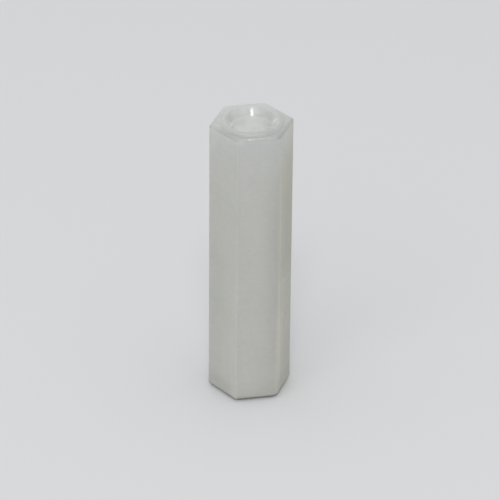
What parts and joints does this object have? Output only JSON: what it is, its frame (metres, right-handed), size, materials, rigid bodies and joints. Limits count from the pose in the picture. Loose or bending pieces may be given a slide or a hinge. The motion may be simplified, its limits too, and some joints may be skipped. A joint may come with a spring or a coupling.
{
  "type": "hex standoff",
  "caption": "Moulded hexagonal pillar with a raised round seating land, a tapered mouth and a threaded blind hole in each end; spaces a board off a panel.",
  "frame": {"origin": "middle of the lower seating land, where the pillar stands", "axes": "+Z along the pillar to the upper land; two flats face +X and -X, and the mould's parting line runs up the edges at +Y and -Y"},
  "size_m": [0.006, 0.0068, 0.025],
  "materials": {
    "natural_nylon": "satin moulded nylon, milky and slightly translucent"
  },
  "bodies": {
    "root": {"hex_standoff": "natural_nylon"}
  },
  "joints": []
}
